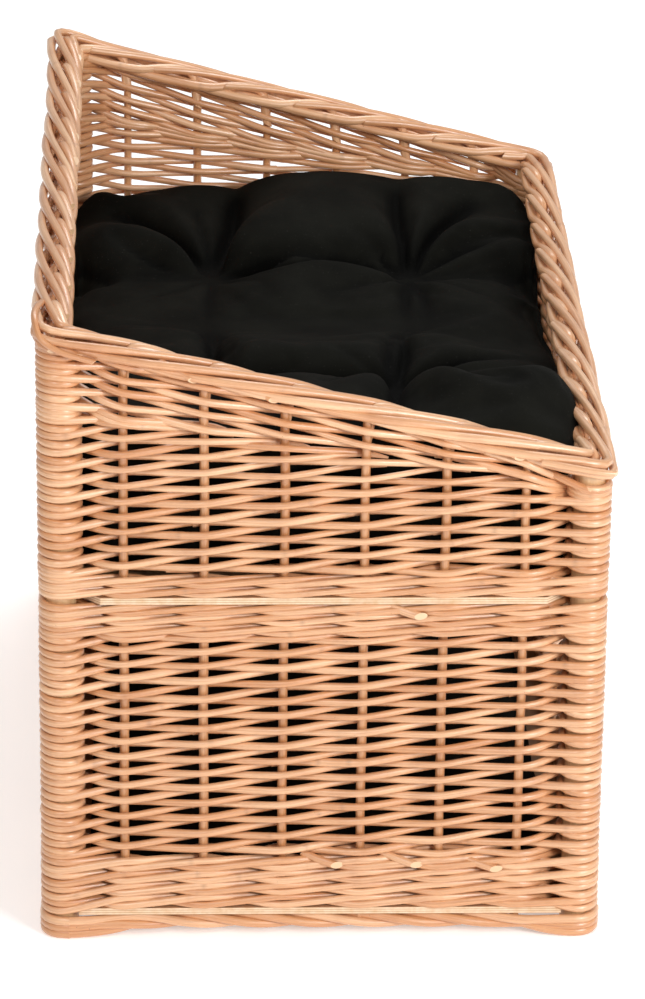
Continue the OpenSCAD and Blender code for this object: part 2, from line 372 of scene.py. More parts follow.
class Shader:
    """A short way to write a node material."""

    def __init__(self, name):
        self.material = bpy.data.materials.new(name)
        self.material.use_nodes = True
        self.nodes = self.material.node_tree.nodes
        self.links = self.material.node_tree.links
        self.bsdf = self.nodes.get("Principled BSDF")

    def node(self, kind, inputs=None, **settings):
        node = self.nodes.new(kind)
        for key, value in settings.items():
            setattr(node, key, value)
        for key, value in (inputs or {}).items():
            if isinstance(value, bpy.types.NodeSocket):
                self.links.new(value, node.inputs[key])
            else:
                node.inputs[key].default_value = value
        return node

    def attribute(self, name):
        return self.node("ShaderNodeAttribute", attribute_name=name).outputs["Fac"]

    def math(self, operation, a, b=None):
        inputs = {0: a} if b is None else {0: a, 1: b}
        return self.node("ShaderNodeMath", inputs, operation=operation).outputs[0]

    def mix(self, factor, a, b):
        return self.node("ShaderNodeMix", {0: factor, 6: a, 7: b}, data_type="RGBA").outputs[2]

    def ramp(self, value, low, high, to_low=0.0, to_high=1.0):
        node = self.node("ShaderNodeMapRange", {0: value, 1: low, 2: high, 3: to_low, 4: to_high})
        return node.outputs[0]

    def noise(self, vector, scale, detail=3.0, rough=0.55):
        node = self.node(
            "ShaderNodeTexNoise", {"Vector": vector, "Scale": scale, "Detail": detail, "Roughness": rough}
        )
        return node.outputs["Fac"]

    def stretched(self, vector, x, y, z):
        node = self.node("ShaderNodeMapping", {"Vector": vector, "Scale": (x, y, z)})
        return node.outputs[0]

    def bump(self, height, strength, distance):
        node = self.node("ShaderNodeBump", {"Height": height, "Strength": strength, "Distance": distance})
        self.links.new(node.outputs[0], self.bsdf.inputs["Normal"])

    def set(self, **values):
        for key, value in values.items():
            socket = self.bsdf.inputs[key.replace("_", " ")]
            if isinstance(value, bpy.types.NodeSocket):
                self.links.new(value, socket)
            else:
                socket.default_value = value


def willow_material(name, pale, middle, deep):
    """Buff willow: a tint for each rod, fibres along it, dark knots and pale cut ends."""
    s = Shader(name)
    place = s.node("ShaderNodeTexCoord").outputs["Object"]
    uv = s.node("ShaderNodeUVMap", uv_map="fibre").outputs[0]
    tint = s.attribute("tint")
    shift = s.node("ShaderNodeCombineXYZ", {"X": s.math("MULTIPLY", tint, 37.0), "Z": tint}).outputs[0]
    fibre_at = s.node("ShaderNodeVectorMath", {0: uv, 1: shift}, operation="ADD").outputs[0]
    streaks = s.noise(s.stretched(fibre_at, 14, 16, 9), 1.0, 4.0, 0.6)
    fine = s.noise(s.stretched(fibre_at, 60, 60, 9), 1.0, 3.0, 0.6)
    patches = s.noise(place, 26.0, 3.0)
    colour = s.mix(s.ramp(tint, 0.0, 1.0), pale, middle)
    colour = s.mix(s.ramp(patches, 0.5, 0.75, 0.0, 0.35), colour, deep)
    colour = s.mix(s.ramp(streaks, 0.42, 0.72, 0.0, 0.55), colour, deep)
    colour = s.mix(s.ramp(fine, 0.5, 0.75, 0.0, 0.35), colour, pale)
    specks = s.noise(s.stretched(fibre_at, 420, 9, 9), 1.0, 2.0)
    dark = linear(120, 72, 44)
    colour = s.mix(s.ramp(specks, 0.745, 0.80), colour, dark)
    ringed = s.ramp(s.attribute("knot"), 0.35, 0.95, 0.0, 0.4)
    colour = s.mix(s.math("MULTIPLY", ringed, s.ramp(fine, 0.35, 0.6)), colour, dark)
    colour = s.mix(s.attribute("cut"), colour, linear(228, 190, 148))
    s.set(Base_Color=colour, Roughness=s.ramp(streaks, 0.3, 0.8, 0.26, 0.40), Specular_IOR_Level=0.9)
    s.set(Coat_Weight=0.4, Coat_Roughness=0.24)
    s.bump(s.math("ADD", s.math("MULTIPLY", fine, 0.4), streaks), 0.5, 0.0006)
    return s.material


def plywood_material():
    """Birch plywood: broad grain on its faces, and its plies as lines on its edges."""
    s = Shader("plywood_birch")
    place = s.node("ShaderNodeTexCoord").outputs["Object"]
    grain = s.noise(s.stretched(place, 150, 6, 150), 1.0, 4.0, 0.6)
    cloud = s.noise(place, 9.0, 2.0)
    z = s.node("ShaderNodeSeparateXYZ", {0: place}).outputs[2]
    ply = s.math("FRACT", s.math("DIVIDE", s.math("SUBTRACT", z, BASE_UNDER * MM), 0.002))
    line = s.ramp(s.math("ABSOLUTE", s.math("SUBTRACT", ply, 0.5)), 0.34, 0.42)
    colour = s.mix(s.ramp(grain, 0.35, 0.7), linear(240, 214, 184), linear(222, 188, 148))
    colour = s.mix(s.ramp(cloud, 0.4, 0.8, 0.0, 0.4), colour, linear(214, 172, 130))
    colour = s.mix(s.math("MULTIPLY", line, 0.75), colour, linear(166, 116, 74))
    s.set(Base_Color=colour, Roughness=s.ramp(grain, 0.3, 0.7, 0.5, 0.7))
    s.bump(grain, 0.3, 0.0004)
    return s.material


def cotton_material(name, lit, deep):
    """Black cotton drill: a fine weave, a random cloud of paler and darker tone, painted shade that darkens
    it nearly to black in its folds and hollows, and some lint.
    """
    s = Shader(name)
    place = s.node("ShaderNodeTexCoord").outputs["Object"]
    threads = []
    for axis in "XY":
        wave = s.node(
            "ShaderNodeTexWave", {"Vector": place, "Scale": 480.0, "Distortion": 0.8}, bands_direction=axis
        )
        threads.append(wave.outputs["Fac"])
    weave = s.math("MULTIPLY", threads[0], threads[1])
    cloud = s.noise(place, 22.0, 4.0)
    lint = s.ramp(s.noise(place, 900.0, 1.0), 0.74, 0.80)
    colour = s.mix(s.ramp(cloud, 0.35, 0.75), lit, deep)
    # painted shade: the cover is darkened towards near black in its folds and hollows, by a strength stored
    # on each point of the mesh
    colour = s.mix(s.ramp(s.attribute("painted_crease_shade"), 0.05, 1.0, 0.0, 0.95), colour, linear(3, 3, 2))
    colour = s.mix(s.math("MULTIPLY", lint, 0.35), colour, linear(110, 108, 104))
    s.set(Base_Color=colour, Roughness=0.85, Specular_IOR_Level=0.06)
    s.bump(s.math("ADD", s.math("MULTIPLY", weave, 0.3), s.math("MULTIPLY", cloud, 2.0)), 0.3, 0.0006)
    return s.material


PALE = linear(240, 192, 148)
MIDDLE = linear(210, 146, 94)
DEEP = linear(168, 96, 48)
WEAVER = willow_material("willow_rods", PALE, MIDDLE, DEEP)
STAKE = willow_material("stake_willow", linear(220, 168, 120), linear(198, 140, 90), DEEP)
POST = willow_material("post_wood", linear(234, 198, 150), linear(218, 172, 122), linear(184, 130, 80))
PLYWOOD = plywood_material()
COTTON = cotton_material("black_cotton", linear(21, 21, 17), linear(11, 11, 8))
THREAD = cotton_material("black_thread", linear(26, 25, 23), linear(14, 14, 12))


# ---------------------------------------------------------------- randing: the plain weave of the walls
def sway(i, level, seed, amount=1.3):
    """Slow unevenness of the rows, the same for neighbours."""
    return amount * noise.noise((i * 0.22, level * 0.28, seed)) * 2


class Zone:
    """A band of randing whose rows run parallel to one of its two edges."""

    def __init__(self, floor, ceiling, hang=False, row=ROW, seed=0.0):
        self.floor, self.ceiling, self.hang, self.row, self.seed = floor, ceiling, hang, row, seed

    def height(self, i, level):
        up = upright(i)
        low, high = self.floor(up), self.ceiling(up)
        z = level * self.row + (high if self.hang else low) + sway(i % COUNT, level, self.seed)
        return min(max(z, low + 0.8 * ROD_R), high - 0.6 * ROD_R)

    def holds(self, i, level):
        up = upright(i)
        z = level * self.row + (self.ceiling(up) if self.hang else self.floor(up))
        return self.floor(up) - 0.1 * self.row <= z <= self.ceiling(up) + 0.35 * self.row


def runs(zone):
    """Each unbroken run of uprights that a rod of the zone passes: (family, first, last)."""
    turn = round(CLIMB * COUNT)
    found = []
    for family in range(turn):
        inside = [i for i in range(-6 * COUNT, 6 * COUNT) if zone.holds(i, family + CLIMB * i)]
        start = None
        for k, i in enumerate(inside):
            if start is None:
                start = i
            if k + 1 == len(inside) or inside[k + 1] != i + 1:
                found.append((family, start, i))
                start = None
    return found


def split(first, last, state):
    """Cuts a long run into rods that end behind a stake."""
    pieces, start = [], first
    while last - start > 13:
        cut = start + dice.randint(7, 12)
        while cut < last and (is_post(cut) or state(cut) > 0):
            cut += 1
        if last - cut < 3:
            break
        pieces.append((start, cut))
        start = cut
    pieces.append((start, last))
    return pieces


def door_edge(z):
    """How far from the middle of the front wall the hoop stands at a height."""
    rise = z - (HOOP_TOP - HOOP_BEND)
    if rise <= 0:
        return HOOP_Y
    return HOOP_Y - HOOP_BEND + math.sqrt(max(0.0, HOOP_BEND**2 - rise**2))


FIRST_FRONT = 1 + SHORT_STAKES + 1
DOOR_BEFORE = FIRST_FRONT + 2
DOOR_AFTER = DOOR_BEFORE + 5


def hoop_turn(stake_i, height, next_height, r):
    """The end of a row at the hoop: inside it, round it and back outside it, behind the stake."""
    end = 1 if stake_i % COUNT == DOOR_AFTER else -1
    z0, z1 = height(stake_i), next_height
    leg = door_edge((z0 + z1) / 2)
    stake = upright(stake_i).s
    gap = abs(stake) - leg
    ring = HOOP_R + r
    points = []
    for t in np.linspace(0, 1, 4)[1:-1]:
        u = (WOVEN - ring) / 2 + (WOVEN + ring) / 2 * float(bent(t))
        points.append((abs(stake) - gap * t, u, z0))
    for t in np.linspace(0, 1, 9):
        a = -TAU / 4 - TAU / 2 * t
        points.append((leg + ring * math.cos(a), ring * math.sin(a), z0 + (z1 - z0) * t))
    for t in np.linspace(0, 1, 4)[1:]:
        u = (ring - WOVEN) / 2 + (ring + WOVEN) / 2 * float(bent(t))
        points.append((leg + gap * t, u, z1))
    s, u, z = np.array(points).T
    return np.column_stack([on_wall(FRONT, end * s, u), z])


def add_rod(bundles, points, thick=None, thin=None, tips=(False, False)):
    """Puts a rod into the bundle of the wall that most of it lies on; tips says which ends taper."""
    thick = thick or dice.uniform(2.95, 3.6)
    thin = thin or dice.uniform(2.5, 3.0)
    tint = dice.betavariate(1.6, 1.6)
    radii = rod_radii(points, thick, thin)
    radii += 0.85 * post_nearness(points) * np.maximum(0, 3.5 - radii)
    taper = np.clip(0.35 + np.arange(len(points)) * STEP / 22.0, 0, 1)
    if tips[0]:
        radii *= taper
    if tips[1]:
        radii *= taper[::-1]
    bundle = bundles[wall_of(points)]
    bundle.add(points, radii, tint, knot_places(points), SIDES, dice.uniform(0, TAU), dice.uniform(-0.5, 0.5))


def post_nearness(points):
    """1 on the corner posts, where rods are packed flat against each other, and 0 away from them."""
    away = np.hypot(np.abs(points[:, 0]) - POST_X, np.abs(points[:, 1]) - POST_Y)
    return np.clip((40 - away) / 20, 0, 1)


def wall_of(points):
    """The wall that most of a path lies on."""
    x, y = points[:, 0], points[:, 1]
    on_long = np.abs(x) / WALL_X > np.abs(y) / WALL_Y
    votes = np.where(on_long, np.where(x > 0, FRONT, BACK), np.where(y > 0, FAR, NEAR))
    return int(np.bincount(votes, minlength=4).argmax())


def weave(zone, bundles, door=False):
    """Fills a zone with rods."""
    for family, first, last in runs(zone):
        def level(i):
            return family + CLIMB * i

        def state(i):
            return 1 if (i + family) % 2 == 0 else -1

        def height(i):
            return zone.height(i, level(i))

        while state(first) > 0 or is_post(first):
            first -= 1
        while state(last) > 0 or is_post(last):
            last += 1
        for start, stop in split(first, last, state):
            for a, b, open_a, open_b in door_cuts(start, stop, height, door):
                if b < a:
                    continue
                lead = 0.0 if open_a else dice.uniform(18, 30) if a == first else 9.0
                tail = 0.0 if open_b else dice.uniform(18, 30) if b == last else 9.0
                points = rod_path(a, b, state, height, ROD_R, lead, tail)
                if open_b and state(b) > 0:
                    turn = hoop_turn(b, height, zone.height(b, level(b) + 1), ROD_R)
                    points = np.vstack([points, turn])
                if open_a and state(a) > 0:
                    turn = hoop_turn(a, height, zone.height(a, level(a) - 1), ROD_R)
                    points = np.vstack([turn[::-1], points])
                if len(points) > 3:
                    tips = (a == first and not open_a, b == last and not open_b)
                    add_rod(bundles, points, tips=tips)


def door_cuts(start, stop, height, door):
    """The parts of a rod on either side of the entrance, and which of their ends meet the hoop."""
    if not door:
        return [(start, stop, False, False)]
    parts, a, open_a = [], start, False
    i = start
    while i <= stop:
        k = i % COUNT
        if DOOR_BEFORE < k < DOOR_AFTER and height(i) < HOOP_TOP + HOOP_R + 1:
            before = i - (k - DOOR_BEFORE)
            after = before + DOOR_AFTER - DOOR_BEFORE
            if before >= a:
                parts.append((a, before, open_a, True))
            a, open_a, i = after, True, after
            continue
        i += 1
    if a <= stop:
        parts.append((a, stop, open_a, False))
    return parts


def make_weave():
    """The walls: level rows below the shelf; above it level rows, then rows parallel to the rim."""
    lower = [Bundle("lower_rods_" + name) for name in WALL_NAMES]
    upper = [Bundle("upper_rods_" + name) for name in WALL_NAMES]
    weave(Zone(lambda up: BASE_WALE_TOP, lambda up: UNDER_WALE_FOOT, seed=1.0), lower, door=True)
    weave(Zone(lambda up: OVER_WALE_TOP, wedge_line, seed=2.0), upper)
    weave(Zone(wedge_line, weave_top, hang=True, row=ROW * 0.88, seed=3.0), upper)
    for storey, bundles in (("lower", lower), ("upper", upper)):
        for bundle, name, post in zip(bundles, WALL_NAMES, POST_NAMES):
            panels = [name]
            if storey == "lower" and name == "front":
                panels = ["front_near", "front_far", "front_head"]
            nodes = [storey + "_weave_" + panel for panel in panels]
            bundle.make(WEAVER, "basket", "willow", *nodes, storey + "_wrap_" + post)


def weave_top(up):
    """Where the randing stops: behind the border's outer rods, but lower on the front posts, which show."""
    bare = 10.0 if up.kind == "post" and up.at[0] > 0 else 0.0
    return rim_under(*up.at) + RIM_DROP - bare


def wedge_line(up):
    """Rows are level below this line and follow the rim above it."""
    at_front, slope = 395.0, 0.155
    return min(at_front - slope * (up.at[0] - POST_X), weave_top(up) - 8)


# ---------------------------------------------------------------- waling: three rods worked as one
def wale(bundles, floor, ceiling, rounds, sink):
    """Rounds of three rods, each in front of two uprights and behind the third, and lower on the posts."""
    tall = (ceiling - floor) / rounds
    thick = min(3.3, tall / 4 + 0.4)
    for turn in range(rounds):
        for strand in range(3):
            def phase(i):
                return (i + strand) % 3

            def state(i):
                return -1 if phase(i) == 2 else 1

            def height(i):
                share = (0.16, 0.84, 0.5)[phase(i)]
                z = floor + tall * (turn + share)
                z += sway(i % COUNT, z * 0.3, 9.0 + floor, 0.8)
                low = sink * (1 - turn / rounds) if is_post(i) else 0.0
                return min(max(z, floor + 0.8 * thick) - low, ceiling - 0.85 * thick)

            start = strand * 3 + turn * 5 + dice.randint(0, 8)
            while state(start) > 0 or is_post(start):
                start += 1
            goal = start + COUNT
            while start < goal:
                stop = min(goal, start + dice.randint(9, 14))
                while stop < goal and (state(stop) > 0 or is_post(stop)):
                    stop += 1
                if goal - stop < 5:
                    stop = goal
                points = rod_path(start, stop, state, height, thick, 5.0, 12.0, ringed=False)
                add_rod(bundles, points, thick * 1.08, thick * 0.9)
                start = stop


def cut_end(bundle, place, s, u, z, r):
    """A slanting cut rod end that comes out from between other rods."""
    t = np.linspace(0, 1, 6)
    points = np.array([place(s - 24 * (1 - k), u - 9 * (1 - k) ** 1.5, z + 5 * (1 - k)) for k in t])
    bundle.add(points, r, dice.random(), (), 12, 0.0, -1.5)


def make_wales():
    """Three bands of waling, with cut rod ends beside some of the stakes."""
    for place, floor, ceiling, rounds in (
        ("base", BASE_TOP, BASE_WALE_TOP, 4),
        ("under_shelf", UNDER_WALE_FOOT, SHELF_UNDER, 3),
        ("over_shelf", SHELF_TOP, OVER_WALE_TOP, 2),
    ):
        bundles = [Bundle(place + "_wale_rods_" + name) for name in WALL_NAMES]
        wale(bundles, floor, ceiling, rounds, 4.0 if place == "base" else 0.0)
        for wall in range(4):
            count = STAKES[wall]
            beside = {"base": range(count // 2, count), "under_shelf": [count - 2]}.get(place, [])
            for n in beside:
                def wall_point(s, u, z, wall=wall):
                    return (*on_wall(wall, s, u), z)

                s = (n - (count - 1) / 2) * PITCH - dice.uniform(14, 20)
                cut_end(bundles[wall], wall_point, s, WOVEN + 4.5, ceiling - dice.uniform(5, 10), 3.3)
        for bundle, name in zip(bundles, WALL_NAMES):
            bundle.make(WEAVER, "basket", "willow", place + "_wale_" + name)


# ---------------------------------------------------------------- stakes, posts and hoop
def make_stakes():
    """Straight rods from the base to the border; the ones over the entrance stop at its hoop."""
    for wall, name in enumerate(WALL_NAMES):
        bundle = Bundle("stake_rods_" + name)
        for i, up in enumerate(uprights):
            if up.wall != wall or up.kind != "stake":
                continue
            top = rim_under(*up.at) + 10
            spans = [(STAKE_FOOT + 2, top)]
            if wall == FRONT and DOOR_BEFORE < i < DOOR_AFTER:
                spans = [(STAKE_FOOT + 2, BASE_WALE_TOP), (HOOP_TOP + 4, top)]
            for low, high in spans:
                z = np.linspace(low, high, max(3, int((high - low) / 12)))
                wobble = np.array([[noise.noise((h * 0.012, i, k)) for k in (0, 5)] for h in z])
                points = np.column_stack([up.at[0] + wobble[:, 0], up.at[1] + wobble[:, 1], z])
                radii = rod_radii(points, STAKE_R * 1.02, STAKE_R * 0.96, 0.03)
                bundle.add(points, radii, dice.random(), [dice.uniform(30, 400)], 10, dice.uniform(0, TAU))
        bundle.make(STAKE, "basket", "stake_willow", "stakes_" + name)


def make_posts():
    """Turned posts with fine ridges along them."""
    sides, rings = 48, 12
    angle = np.arange(sides) / sides * TAU
    ridges = 1 - 0.012 * (1 + np.cos(angle * 24))
    for up in uprights:
        if up.kind != "post":
            continue
        name = POST_NAMES[up.wall]
        heights = np.linspace(limits("post_" + name)[0][2], rim_under(*up.at) + 10, rings)
        points = np.column_stack([np.full(rings, up.at[0]), np.full(rings, up.at[1]), heights])
        bundle = Bundle("post_turned_" + name)
        bundle.add(points, POST_R - 0.05, 0.3, (), sides)
        grid = bundle.verts[0].reshape(rings, sides, 3)
        centre = points[:, None, :]
        grid[:] = centre + (grid - centre) * ridges[:, None]
        bundle.make(POST, "basket", "post_wood", "post_" + name)


def make_hoop():
    """The bent rod round the entrance."""
    bend_y, bend_z = HOOP_Y - HOOP_BEND, HOOP_TOP - HOOP_BEND
    leg = np.linspace(BASE_TOP, bend_z, 18)
    points = [(-HOOP_Y, z) for z in leg]
    for middle, arc in (
        (-bend_y, np.linspace(math.pi, math.pi / 2, 14)),
        (bend_y, np.linspace(math.pi / 2, 0, 14)),
    ):
        if middle > 0:
            points += [(y, HOOP_TOP) for y in np.linspace(-bend_y, bend_y, 16)[1:-1]]
        points += [(middle + HOOP_BEND * math.cos(a), bend_z + HOOP_BEND * math.sin(a)) for a in arc]
    points += [(HOOP_Y, z) for z in leg[::-1][1:]]
    path = np.array([(WALL_X, y, z) for y, z in points])
    bundle = Bundle("entrance_hoop_rod")
    bundle.add(path, rod_radii(path, HOOP_R, HOOP_R * 0.93, 0.02), 0.45, [90, 260, 430, 600], 16)
    bundle.make(STAKE, "basket", "stake_willow", "entrance_hoop")


# ---------------------------------------------------------------- borders
CORNER_R = 12.5  # radius of the border's middle line at the corners
MID_X = RIM_X - RIM_W / 2
MID_Y = RIM_Y - RIM_W / 2
HALF = [MID_X, MID_Y, MID_X, MID_Y]
AWAY = [MID_Y, MID_X, MID_Y, MID_X]
STRAIGHT = [2 * (h - CORNER_R) for h in HALF]
BEND = CORNER_R * TAU / 4
LOOP = sum(STRAIGHT) + 4 * BEND


def border_point(s, u, h):
    """A point of the top border: s along its middle line, u outward of it, h above its underside."""
    s = s % LOOP
    for wall in range(4):
        if s < STRAIGHT[wall]:
            plan = OUT[wall] * (AWAY[wall] + u) + ALONG[wall] * (s - STRAIGHT[wall] / 2)
            break
        s -= STRAIGHT[wall]
        if s < BEND:
            centre = OUT[wall] * (AWAY[wall] - CORNER_R) + ALONG[wall] * STRAIGHT[wall] / 2
            a = s / CORNER_R
            square = 1 + 0.2 * math.sin(2 * a) ** 2
            plan = centre + square * (CORNER_R + u) * (OUT[wall] * math.cos(a) + ALONG[wall] * math.sin(a))
            break
        s -= BEND
    return np.array([plan[0], plan[1], rim_under(*plan) + h])


def border_start(up):
    """Where an upright stands along the border's middle line."""
    s = sum(STRAIGHT[w] + BEND for w in range(up.wall))
    if up.kind == "post":
        return s - BEND / 2
    return s + STRAIGHT[up.wall] / 2 + up.s


def smooth_curve(knots, step):
    """A smooth curve through knots given as rows, the first column being its parameter."""
    knots = np.array(knots, float)
    t = knots[:, 0]
    fine = np.arange(t[0], t[-1] + step / 2, step)
    slopes = np.gradient(knots[:, 1:], t, axis=0)
    out = []
    for value in fine:
        k = int(np.clip(np.searchsorted(t, value, side="right") - 1, 0, len(t) - 2))
        w = t[k + 1] - t[k]
        q = (value - t[k]) / w
        a = (2 * q**3 - 3 * q**2 + 1) * knots[k, 1:] + (q**3 - 2 * q**2 + q) * w * slopes[k]
        b = (3 * q**2 - 2 * q**3) * knots[k + 1, 1:] + (q**3 - q**2) * w * slopes[k + 1]
        out.append(np.concatenate([[value], a + b]))
    return np.array(out)


# One upright bent down into the border: pitches along it, mm outward and mm above the border's underside
BORDER_STROKE = [
    (0.0, -0.5, -12), (0.02, -0.5, 6), (0.05, -0.6, 13), (0.1, -1.2, 17.5), (0.2, -2.8, 19.5),
    (0.35, -5, 19.2), (0.55, -8.2, 17), (0.8, -11, 13), (1.2, -12, 10.8), (1.6, -11, 9.9),
    (2.1, -6, 9.8), (2.6, 1, 9.8), (3.0, 6, 10.3), (3.5, 11.3, 11.8), (4.0, 12.6, 14.8),
    (4.5, 11.6, 18.6), (5.0, 7, 20.8), (5.5, 0, 21.8), (6.0, -7.8, 20.2), (6.35, -11.3, 16.9),
]


# Two loose rods at the near corners, as x, y and mm above the border's underside
CORNER_LOOP = [
    (-221, -300, 21), (-225, -324, 25), (-226, -345, 23), (-221, -361, 14), (-205, -366, 9), (-180, -365, 7),
]
CORNER_TIP = [(170, -364, 13), (198, -367, 16), (216, -368, 18), (227, -366, 19)]


def make_top_border():
    """Each upright bent down and plaited with its neighbours, with some cut ends and the loose rods."""
    bundles = [Bundle("border_rods_" + name) for name in WALL_NAMES]
    curve = smooth_curve(BORDER_STROKE, 0.065)
    for up in uprights:
        s0 = border_start(up)
        lift, wide = dice.uniform(-0.8, 0.8), dice.uniform(-0.8, 0.8)
        points = np.array([border_point(s0 + t * PITCH, u + wide, h + lift) for t, u, h in curve])
        heap = np.exp(-(np.hypot(points[:, 0] + POST_X, points[:, 1] - POST_Y) / 26) ** 2)
        points[:, 2] += 4 * heap * np.clip(curve[:, 2] / 20, 0, 1)
        thick = dice.uniform(3.9, 4.3)
        radii = rod_radii(points, thick, thick * 0.82, 0.03)
        bundle = bundles[up.wall]
        bundle.add(points, radii, dice.uniform(0, 0.8), knot_places(points), 10, dice.uniform(0, TAU), 0.8)
        if up.kind == "stake" and up.wall in (NEAR, FAR) and dice.random() < 0.8:
            cut_end(bundle, border_point, s0 - dice.uniform(6, 14), 14.0, dice.uniform(9, 12), 2.8)
    near = bundles[NEAR]
    for s in (-POST_X + 3, -POST_X + 15):
        cut_end(near, border_point, s + STRAIGHT[NEAR] / 2, 13.5, 7.5, 3.2)
    for path in (CORNER_LOOP, CORNER_TIP):
        knots = [(k, x, y, rim_under(x, y) + h) for k, (x, y, h) in enumerate(path)]
        points = smooth_curve(knots, 0.2)[:, 1:]
        near.add(points, np.linspace(2.9, 2.4, len(points)), dice.random(), (), 10, 0.0, -0.8)
    for bundle, name in zip(bundles, WALL_NAMES):
        bundle.make(WEAVER, "basket", "willow", "top_border_" + name)


def make_foot_border():
    """Three thick rods twisted under the base board, passing outside the feet."""
    strand_r = 3.8
    middle_z = BASE_UNDER / 2 + 3.2
    swing = 4.0
    turn_length = 132.0
    tints = [dice.random() for _ in range(3)]
    for wall, name in enumerate(WALL_NAMES):
        bundle = Bundle("foot_rods_" + name)
        half = POST_S[wall]
        turns = round(2 * half / turn_length)
        for strand in range(3):
            s = np.arange(-half, half + 1, STEP)
            phase = TAU * (strand / 3 - turns * (s + half) / (2 * half))
            near_post = smooth(1 - (half - np.abs(s)) / 90.0)
            u = 4.2 * np.cos(phase) * (1 - near_post) + (POST_R + strand_r - 8) * near_post
            corner_z = 4.0 + strand * 5.7
            z = (middle_z + swing * np.sin(phase)) * (1 - near_post) + corner_z * near_post
            straight = np.column_stack([on_wall(wall, s, u), z])
            centre = OUT[wall] * POST_AWAY[wall] + ALONG[wall] * POST_S[wall]
            a = np.linspace(0, TAU / 4, 6)[1:]
            turn = np.multiply.outer(np.cos(a), OUT[wall]) + np.multiply.outer(np.sin(a), ALONG[wall])
            arc = centre + (POST_R + strand_r) * turn
            points = np.vstack([straight, np.column_stack([arc, np.full(len(a), corner_z)])])
            end = points[-1] + (points[-1] - points[-2]) * (1, 1, 0)
            bundle.add(np.vstack([points, end]), strand_r, tints[strand], (), 10)
        nodes = ["foot_border_" + name] + (["foot_wraps"] if wall == NEAR else [])
        bundle.make(WEAVER, "basket", "willow", *nodes)


# ---------------------------------------------------------------- cushions
tie_lo, tie_hi = limits("bed_cushion_ties")
TIE_R = 1.25
TUFT_Y = tie_hi[1] - TIE_R
TUFT_REST = tie_hi[2] - 10.0  # height of the cover at its tufts


def soft_box(lo, hi, radius, cell):
    """A closed rounded box of nearly square cells, as a mesh object."""
    half = (hi - lo) / 2
    centre = (hi + lo) / 2
    cells = [max(2, int(round(2 * h / cell))) for h in half]
    index, verts, faces = {}, [], []

    def corner(*ijk):
        if ijk not in index:
            p = np.array([(2 * k / n - 1) * h for k, n, h in zip(ijk, cells, half)])
            inner = np.clip(p, radius - half, half - radius)
            away = p - inner
            index[ijk] = len(verts)
            verts.append(centre + inner + radius * away / np.linalg.norm(away))
        return index[ijk]

    for axis in range(3):
        a, b = (axis + 1) % 3, (axis + 2) % 3
        for end in (0, cells[axis]):
            for i in range(cells[a]):
                for k in range(cells[b]):
                    quad = []
                    for di, dk in ((0, 0), (1, 0), (1, 1), (0, 1)):
                        at = [0, 0, 0]
                        at[axis], at[a], at[b] = end, i + di, k + dk
                        quad.append(corner(*at))
                    faces.append(quad if end else quad[::-1])
    return np.array(verts), faces


# Each tuft's x and y, with the folds that run out of it: direction in degrees, length, depth, bend in degrees
FOLDS = {
    (-84, 147): [
        (74, 200, 50, 8), (93, 160, 26, 4), (110, 185, 36, 14), (163, 115, 18, -12), (182, 130, 40, -4),
        (0, 110, 40, 4), (266, 250, 52, 4), (225, 70, 18, 8), (310, 60, 14, -8), (40, 60, 10, 0),
    ],
    (89, 146): [
        (97, 190, 34, -6), (73, 180, 36, -8), (45, 130, 26, -14), (14, 110, 14, 6), (-2, 120, 38, 4),
        (180, 110, 40, -4), (262, 200, 44, 8), (286, 165, 40, -14), (228, 70, 12, 6), (140, 70, 10, 4),
    ],
    (60, -143): [
        (92, 165, 30, -6), (72, 170, 44, 14), (50, 150, 30, -16), (30, 110, 18, -10), (2, 130, 44, 4),
        (180, 110, 42, 4), (272, 180, 40, -4), (300, 120, 22, 8), (240, 110, 20, -8), (140, 70, 12, 0),
    ],
    (-84, -145): [
        (92, 200, 46, -4), (120, 90, 16, 6), (180, 130, 38, 4), (0, 110, 40, -4), (60, 80, 14, 8),
        (268, 180, 40, 6), (240, 110, 22, -6), (296, 120, 20, 8), (210, 90, 14, 0),
    ],
}


def fold(x, y, direction, length, depth, bend):
    """Depth of one fold that starts at the origin: sharp at its bottom, wider and shallower further out."""
    r = np.hypot(x, y)
    reach = np.clip(r / length, 0, 1)
    turned = np.arctan2(y, x) - np.radians(direction + bend * reach)
    off = np.abs(r * np.sin(turned))
    off = np.where(np.cos(turned) > 0, off, np.hypot(off, r))
    width = 7 + 0.13 * r
    return depth * (1 - reach) ** 0.8 * np.exp(-np.sqrt(off**2 + 2.0) / width)


def bump(t, middle, width):
    """1 at the middle, falling smoothly to 0 on both sides."""
    return np.exp(-(((t - middle) / width) ** 2))


def crown(x, y):
    """How much higher or lower the stuffing stands in different parts of the cushion."""
    middle = np.where(y > 28, np.exp(-(((y - 28) / 112) ** 4)), bump(y, 28, 165))
    rolls = 2 * bump(y, -240, 70) - 43 * middle
    rolls -= 15 * bump(y, 270, 110) * (1 - 0.1 * np.clip((x - 60) / 80, 0, 1))
    rolls += 20 * bump(y, -208, 55) * np.clip(x / 90, 0, 1)
    low_left = -8 * bump(y, 260, 90) * np.clip(-(x + 60) / 60, 0, 1)
    low_right = -9 * np.clip((x - 100) / 90, 0, 1) ** 2 * (1 - 0.5 * bump(y, 320, 90))
    return rolls + low_left + low_right


def bed_of(y, rest):
    """The lowest level of the tufts: the far row is pulled in deeper than the near one."""
    return rest - 4 * y / TUFT_Y


